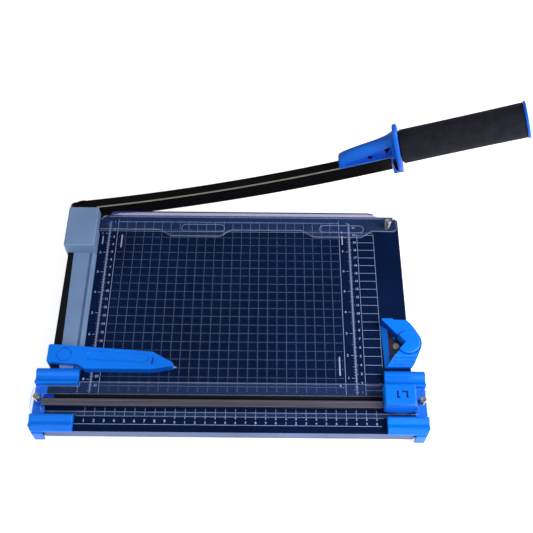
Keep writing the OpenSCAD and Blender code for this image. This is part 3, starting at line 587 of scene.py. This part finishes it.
def trimmer():
    """Rail, rotary head and clear strip between the two brackets."""
    left = bevelled("left_bracket", BLUE, 0.55, 3)
    # painted shade on the tab that stops the cutting strip
    darken_faces(left, BLUE_PAINTED_SHADE, lambda place, normal: TAB_X[0] < place.x < TAB_X[1]
                 and TAB_Y[0] < place.y < TAB_Y[1] and place.z < 3)
    bevelled("right_bracket", BLUE, 0.55, 3)
    bevelled("rotary_rail", RAIL, 0.3, 2)
    bevelled("cutting_strip", DARK_PLASTIC, 0.2, 2)
    bevelled("carriage_glide", DARK_PLASTIC, 0.2, 2)
    cap = bevelled("head_cap", BLUE, 0.5, 3)
    # painted shade on the head's front faces
    darken_faces(cap, BLUE_DARK_AND_FRONT_SHADE, lambda place, normal: normal.y < -0.5)
    # painted deep shade on the floor of the head's sunk mark
    darken_faces(cap, BLUE_PAINTED_DEEP_SHADE, lambda place, normal: abs(place.z - RECESS_Z) < 0.06 and normal.z > 0.95
                 and RECESS_Y[0] < place.y < RECESS_Y[1])
    bevelled("blade_carrier", WHITE_PLASTIC, 0.2, 2)
    bevelled("blade_axle", ZINC, 0.15, 2)
    bevelled("rotary_blade", GROUND_STEEL, 0.1, 1)
    clear_part("clamp_strip")


EDGE_HEIGHT = 2.6


def clear_part(node):
    """Clear plastic with a painted highlight on its thin and rounded edges."""
    made = bevelled(node, CLEAR, 0.25, 2, CLEAR_EDGE_HIGHLIGHT)
    mesh = made.data
    for face in mesh.polygons:
        heights = [mesh.vertices[k].co.z for k in face.vertices]
        if abs(face.normal.z) < 0.7 and max(heights) - min(heights) < EDGE_HEIGHT * MM:
            face.material_index = 1
    return made


WALL_TOP = 9.6
LOBE_PILLS = [(72, 121), (228, 278)]  # moulded ovals on the guard's two lobes, from X to X
PILL_Y = (-23.6, -13.4)
PLATE_TOP = 2.3  # top of the guard's plate above the board


def pill(x0, x1, y0, y1, inset):
    """Outline of a slot with round ends, drawn in by an inset."""
    middle = (y0 + y1) / 2
    end = (y1 - y0) / 2
    return arc(x1 - end, middle, end - inset, -90, 90, 12) + arc(x0 + end, middle, end - inset, 90, 270, 12)


def moulded_rim(name, outline, z0, z1, width, body, slot, material):
    """A low rib along a closed outline; the outline is a function of its inset."""
    form = bmesh.new()
    loops = []
    for inset, z in ((0, z0), (0, z1), (width, z1), (width, z0)):
        loops.append([form.verts.new((x, y, z)) for x, y in outline(inset)])
    for a, b in zip(loops, loops[1:] + loops[:1]):
        for k in range(len(a)):
            form.faces.new([a[k], a[k - 1], b[k - 1], b[k]])
    bmesh.ops.recalc_face_normals(form, faces=form.faces)
    form.transform(BOARD)
    made = piece(name, mesh_of(form, name), body, slot, material)
    smooth(made.data)


def on_rim(place, normal):
    """Whether a face is on the top of the guard's upright wall."""
    return place.z > WALL_TOP and normal.z > 0.3


def guard():
    """Clear guard with a dark rim on its upright wall, a painted reflection on the wall's sides and an oval with a
    painted highlight on each of its two lobes.
    """
    shown = clear_part("clear_guard")
    darken_faces(shown, CLEAR_RIM, on_rim)
    # painted reflection on the sides of the upright wall
    darken_faces(shown, CLEAR_WALL_REFLECTION, lambda place, normal: place.z > PLATE_TOP + 0.3
                 and abs(normal.y) > 0.8 and not on_rim(place, normal))
    for k, (x0, x1) in enumerate(LOBE_PILLS):
        moulded_rim(f"guard_oval_{k + 1}", lambda inset: pill(x0, x1, *PILL_Y, inset), PLATE_TOP - 0.1,
                    PLATE_TOP + 0.25, 0.55, "guard", "clear_plastic", CLEAR_EDGE_HIGHLIGHT)


# The first rib is coloured with painted shade.
STOP_CLIPS = [(21.4, 9.2, BLUE_PAINTED_SHADE), (16.6, 8.4, BLUE)]  # back from the stop's tip, and from its front edge
CLIP_SIZE = (1.5, 7.5, 0.9)
CLIP_TURN = math.radians(-6)


def stop():
    """Pointed stop with two small ribs near its point."""
    shown = bevelled("paper_stop", BLUE, 0.5, 3)
    # painted shade on the stop's front faces
    darken_faces(shown, BLUE_DARK_AND_FRONT_SHADE, lambda place, normal: normal.y < -0.5)
    bevelled("stop_glide", DARK_PLASTIC, 0.15, 2)
    bevelled("stop_pin", ZINC, 0.15, 2)
    tip_x, front_y, top = BOX["paper_stop"][1].x, BOX["paper_stop"][0].y, BOX["paper_stop"][1].z
    for k, (back_from_tip, y, colour) in enumerate(STOP_CLIPS):
        form = bmesh.new()
        bmesh.ops.create_cube(form, size=1)
        form.transform(Matrix.Diagonal([side * MM for side in CLIP_SIZE] + [1]))
        bmesh.ops.bevel(form, geom=form.edges, offset=0.3 * MM, segments=3, profile=0.6, affect="EDGES")
        form.transform(Matrix.Translation((tip_x - back_from_tip * MM, front_y + y * MM, top))
                       @ Matrix.Rotation(CLIP_TURN, 4, "Z"))
        clip = piece(f"stop_clip_{k + 1}", mesh_of(form, "stop_clip"), "stop", "blue_plastic", colour)
        smooth(clip.data)


NOTCH_X = (270, 311)  # far wall of the corner rounder's notch
NOTCH_Y = (-166, -118)


def corner_rounder():
    body = bevelled("rounder_body", BLUE, 0.5, 3)
    # painted shade on the notch wall that faces the front
    darken_faces(body, BLUE_PAINTED_SHADE, lambda place, normal: NOTCH_X[0] < place.x < NOTCH_X[1]
                 and NOTCH_Y[0] < place.y < NOTCH_Y[1]
                 and abs(normal.z) < 0.3 and normal.x < 0.2 and normal.y < -0.2)
    bevelled("die_plate", DIE_STEEL, 0.15, 2)
    bevelled("rounder_knob", BLUE, 0.3, 2)
    bevelled("rounder_punch", DIE_STEEL, 0.2, 2)


# ---- Arm, in the arm's own coordinates ----

ARM_LOW_X = 152  # lowest point of the arm's top edge, which is an arc
ARM_LOW_Z = 6.2
ARM_CURVE = 1800
BEAM_MID = 7.3
HOOD_FRONT = 0.5
HOOD_BACK = 2 * BEAM_MID - HOOD_FRONT
# Ridge of the hood, as distance along the arm and height
HOOD_CREST = [(298.6, 21.5), (299.3, 24.6), (300.7, 27.2), (304.5, 29.2), (311, 31.7), (318.5, 34), (325, 35.8),
              (332.5, 37.5), (341.7, 39.8), (349.9, 43), (354, 45.6), (358.6, 49.4)]
CREASE = ((302.6, 19), (356.4, 36))  # fold between the hood's side and its ridge
FLANGE_X = 358.2
FLANGE_MID = (BEAM_MID, 24.5)
FLANGE_RADII = (17.2, 32.6)
# Side of the flange, as a share of the oval's radius and how far along the arm
FLANGE_SIDE = [(0.02, 0), (0.6, 0.1), (0.9, 0.4), (0.97, 0.9), (1, 2), (1, 4), (0.97, 5.3), (0.9, 5.5),
               (0.6, 4.2), (0.02, 3.4)]
FOOT_X = 352.9
FOOT_OUTLINE = [(FOOT_X, -9.5), (363.4, -9.2), (363.4, 4), (360, 20), (FOOT_X, 20)]
FOOT_POCKET = [(354.1, 14.8), (361, 13.4), (360.6, 2), (357.6, -6.2), (355.2, -3)]
CORNER_POCKET = [(347.6, 32.6), (355.4, 34.6), (349.8, 23.6)]
PANEL_X = (304.4, 355.2)
PANEL_DEPTH = 1.1
POCKET_END = 11  # how far across the arm the foot's pocket reaches
GUARD_SCREW = (332, 22)


def arm_top(x):
    """Height of the arm's top edge."""
    return ARM_LOW_Z + (x - ARM_LOW_X) ** 2 / (2 * ARM_CURVE)


def crease(x):
    """Height of the fold in the hood's side."""
    (x0, z0), (x1, z1) = CREASE
    return z0 + (x - x0) * (z1 - z0) / (x1 - x0)


def loft(form, loops):
    """Skin through closed loops of equal length, capped at both ends."""
    rings = [[form.verts.new(point) for point in loop] for loop in loops]
    for a, b in zip(rings, rings[1:]):
        for k in range(len(a)):
            form.faces.new([a[k - 1], a[k], b[k], b[k - 1]])
    form.faces.new(rings[0])
    form.faces.new(rings[-1][::-1])


def solid(loops):
    """Mesh of a loft."""
    form = bmesh.new()
    loft(form, loops)
    bmesh.ops.recalc_face_normals(form, faces=form.faces)
    return mesh_of(form, "solid")


def along_y(outline, y0, y1):
    """Outline in X and Z, drawn out along Y."""
    return solid([[(x, y, z) for x, z in outline] for y in (y0, y1)])


def combined(base, others, operation):
    """The base mesh with each of the others joined to it or cut from it."""
    holder = bpy.data.objects.new("combined", base)
    SCENE.collection.objects.link(holder)
    for mesh in others:
        tool = bpy.data.objects.new("tool", mesh)
        SCENE.collection.objects.link(tool)
        step = holder.modifiers.new("step", "BOOLEAN")
        step.operation = operation
        step.solver = "EXACT"
        step.object = tool
        result = evaluated_mesh(holder)
        bpy.data.objects.remove(tool)
    bpy.data.objects.remove(holder)
    return result


def hood_section(x, crest):
    """Closed section of the hand guard's hood across the arm: upright sides up to the crease, then a ridge."""
    bottom, fold = arm_top(x) + 0.1, min(crease(x), crest - 2.5)
    rise = crest - fold
    half = BEAM_MID - HOOD_FRONT
    side = [(half, bottom), (half, fold), (0.86 * half, fold + 0.36 * rise), (0.66 * half, fold + 0.72 * rise),
            (0.4 * half, fold + 0.93 * rise), (0.14 * half, fold + rise)]
    front = [(x, BEAM_MID - across, z) for across, z in side]
    back = [(x, BEAM_MID + across, z) for across, z in reversed(side)]
    return front + back


def flange_ring(scale, x):
    """Oval of the flange, narrower at its top, at a place along the arm."""
    points = []
    for k in range(48):
        turn = 2 * math.pi * k / 48
        rise = math.cos(turn)
        across = FLANGE_RADII[0] * (1 - 0.16 * max(rise, 0)) * math.sin(turn)
        points.append((x, FLANGE_MID[0] + scale * across, FLANGE_MID[1] + scale * FLANGE_RADII[1] * rise))
    return points


def hand_guard_form():
    """Ridged hood, dished flange and foot in one, with the sunk panel, the pockets and the screw's hole."""
    hood = solid([hood_section(x, crest) for x, crest in HOOD_CREST])
    flange = solid([flange_ring(scale, FLANGE_X + thick) for scale, thick in FLANGE_SIDE])
    foot = along_y(FOOT_OUTLINE, HOOD_FRONT, HOOD_BACK)
    whole = combined(hood, [flange, foot], "UNION")
    panel_low = [(x, arm_top(x) + 1.7) for x in (PANEL_X[1], 340, 322, PANEL_X[0])]
    panel_high = [(x, crease(x) - 1.4) for x in PANEL_X]
    beam = [(340, -30), (340, arm_top(340)), (FOOT_X, arm_top(FOOT_X)), (FOOT_X, -30)]
    cuts = [along_y(panel_high + panel_low, -5, HOOD_FRONT + PANEL_DEPTH),
            along_y(CORNER_POCKET, -5, 6),
            along_y(FOOT_POCKET, -5, POCKET_END),
            along_y(beam, -5, 20),
            along_y(arc(*GUARD_SCREW, 2.7, 0, 345, 23), -5, HOOD_FRONT + 2)]
    return combined(whole, cuts, "DIFFERENCE")


def hand_guard():
    """Blue guard over the arm's end, with painted shade in its sunk panel and painted deep shade in its pockets;
    its flange is a darker blue.
    """
    whole = hand_guard_form()
    whole.transform(ARM)
    whole.materials.clear()
    made = piece("hand_guard_shell", whole, "arm", "blue_plastic",
                 GUARD_BLUE, BLUE_PAINTED_SHADE, BLUE_PAINTED_DEEP_SHADE, BLUE_DARK_AND_FRONT_SHADE)
    mesh = round_edges(made, 0.45, 2)
    inverse = ARM.inverted()
    for face in mesh.polygons:
        place = inverse @ face.center
        in_panel = place.x < PANEL_X[1] + 0.8 and arm_top(place.x) < place.z < crease(place.x)
        in_foot = FOOT_X + 0.6 < place.x < 361.5 and -7 < place.z < 15.5
        depth = place.y - HOOD_FRONT
        # painted deep shade deep in the panel and the foot's pocket, painted shade in the panel, and the flange's
        # darker blue
        if depth > PANEL_DEPTH + 0.5 and place.y < POCKET_END + 0.5 and (in_panel or in_foot):
            face.material_index = 2
        elif depth > PANEL_DEPTH - 0.3 and place.y < POCKET_END + 0.5 and in_panel:
            face.material_index = 1
        elif place.x > FLANGE_X + 1.2:
            face.material_index = 3
    smooth(mesh)
    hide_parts("hand_guard")


GRIP_START = (365.5, BEAM_MID, 24.4)
GRIP_TILT = 5
GRIP = ARM @ Matrix.Translation(GRIP_START) @ Matrix.Rotation(math.radians(90 - GRIP_TILT), 4, "Y")
GRIP_LENGTH = 122.8
GRIP_RADIUS = 17.5
GRIP_BORE = 10
GRIP_NECK = -1.4
GRIP_WAIST = 0.25  # how much thinner the sleeve is in its middle


def foam_grip():
    """Foam sleeve with a narrower neck by the hand guard and softly rounded ends."""
    r, end = GRIP_RADIUS, GRIP_LENGTH
    profile = [(GRIP_BORE, GRIP_NECK), (15.4, GRIP_NECK), (15.9, GRIP_NECK + 0.5)]
    profile += arc(r - 1.2, 1, 1.2, -90, 0, 6)
    profile += [(r - GRIP_WAIST * math.sin(math.pi * k / 12), 2 + (end - 3) * k / 12) for k in range(1, 12)]
    profile += arc(r - 0.7, end - 0.75, 0.7, 0, 90, 4)
    profile.append((GRIP_BORE, end - 0.05))
    form = lathe(profile)
    form.transform(GRIP)
    made = piece("foam_grip_shell", mesh_of(form, "foam_grip_shell"), "arm", "foam", FOAM)
    smooth(made.data)
    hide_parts("foam_grip")


def arm():
    """Beam, blade and grip; the blade's top edge is bare ground steel."""
    bevelled("arm_beam", BLACK_COAT, 0.35, 2)
    blade = bevelled("arm_blade", BLACK_COAT, 0.2, 2)
    blade.data.materials.append(GROUND_EDGE)
    up = (ARM.to_3x3() @ Vector((0, 0, 1))).normalized()
    for face in blade.data.polygons:
        if face.normal.dot(up) > 0.6:
            face.material_index = 1
    bevelled("blade_rivets", BLACK_COAT, 0.1, 2)
    bevelled("pivot_bush", BRONZE, 0.2, 2)
    hand_guard()
    bevelled("handle_tang", BLACK_COAT, 0.3, 2)
    bevelled("tang_rivets", BLACK_COAT, 0.2, 2)
    bevelled("grip_core", ZINC, 0.3, 2)
    foam_grip()
    bevelled("grip_end_cap", BLUE_DARK_AND_FRONT_SHADE, 0.8, 4)


def springs():
    """Each spring that a joint deforms, as a copy in spring wire with a mesh of its own."""
    for joint in frame["record"]["behaviour"]["joints"]:
        for coil in joint.get("deforming_nodes", []):
            made = bevelled(coil["node"], SPRING_WIRE, 0)
            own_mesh(made)


# ---- Studio ----

FLOOR_REACH = 9
FLOOR_GAP = 0.0002  # keeps the floor clear of the feet
FLOOR_GLOW = 0.72


def studio_floor():
    """Pale paper with a glow of its own, so that it stays even and white."""
    form = bmesh.new()
    bmesh.ops.create_grid(form, x_segments=1, y_segments=1, size=FLOOR_REACH)
    mesh = mesh_of(form, "floor")
    floor = bpy.data.objects.new("studio_floor", mesh)
    SCENE.collection.objects.link(floor)
    floor.location.z = cad_box[0].z - FLOOR_GAP
    surface = Surface("studio_paper", specular=0.05)
    surface.colour(srgb(206, 206, 208), srgb(212, 212, 214), surface.noise(4, 2))
    surface.roughness(0.8, 0.95, surface.noise(40, 3))
    surface.shader.inputs["Emission Color"].default_value = (1, 1, 1, 1)
    surface.shader.inputs["Emission Strength"].default_value = FLOOR_GLOW
    mesh.materials.append(surface.material)


def soft_light(name, place, target, size, power):
    """A rectangular light that faces its target."""
    lamp = bpy.data.lights.new(name, "AREA")
    lamp.shape = "RECTANGLE"
    lamp.size, lamp.size_y = size
    lamp.energy = power
    holder = bpy.data.objects.new(name, lamp)
    SCENE.collection.objects.link(holder)
    holder.location = place
    holder.rotation_euler = (Vector(target) - Vector(place)).to_track_quat("-Z", "Y").to_euler()


def studio():
    """Floor, pale surroundings and three soft lights."""
    studio_floor()
    world = bpy.data.worlds.new("studio")
    world.use_nodes = True
    background = world.node_tree.nodes["Background"]
    background.inputs["Color"].default_value = (0.93, 0.95, 1.0, 1)
    background.inputs["Strength"].default_value = 0.3
    SCENE.world = world
    soft_light("key", (0.78, -0.3, 0.7), (0.05, 0, 0), (0.6, 0.6), 13)
    soft_light("fill", (-1.0, -0.4, 1.1), (-0.05, 0, 0), (1.0, 1.0), 3)
    soft_light("front", (0.0, -1.5, 0.9), (0, 0, 0), (1.6, 0.6), 8)
    SCENE.view_settings.view_transform = "Standard"


CAMERA_PLACE = (167.64, -533.87, 766.07)
# About the upright, up from straight down, and about its own axis
CAMERA_TURN = (-0.1, 31.34, 0.62)  # in degrees
FOCAL_LENGTH = 54.94
SENSOR_WIDTH = 36


def camera():
    """Looks down at the board from the front, a little right of the grid's middle."""
    lens = bpy.data.cameras.new("camera")
    lens.lens = FOCAL_LENGTH
    lens.sensor_width = SENSOR_WIDTH
    lens.clip_start = 0.01
    holder = bpy.data.objects.new("camera", lens)
    SCENE.collection.objects.link(holder)
    pan, tilt, roll = (math.radians(degrees) for degrees in CAMERA_TURN)
    turn = Matrix.Rotation(pan, 4, "Z") @ Matrix.Rotation(tilt, 4, "X") @ Matrix.Rotation(roll, 4, "Z")
    holder.matrix_world = Matrix.Translation(BOARD @ Vector(CAMERA_PLACE)) @ turn
    SCENE.camera = holder


board()
fasteners()
pivot_and_fence()
trimmer()
guard()
stop()
corner_rounder()
arm()
springs()
print_grid()
print_side_scale("printed_left_scale", -9.2, -3.5, -16.6, 0, 0, False)
print_side_scale("printed_right_scale", 260.8, 266.7, 253.3, -225, -225, True)
print_photo_sizes()
print_front_scale()
print_captions()
studio()
camera()
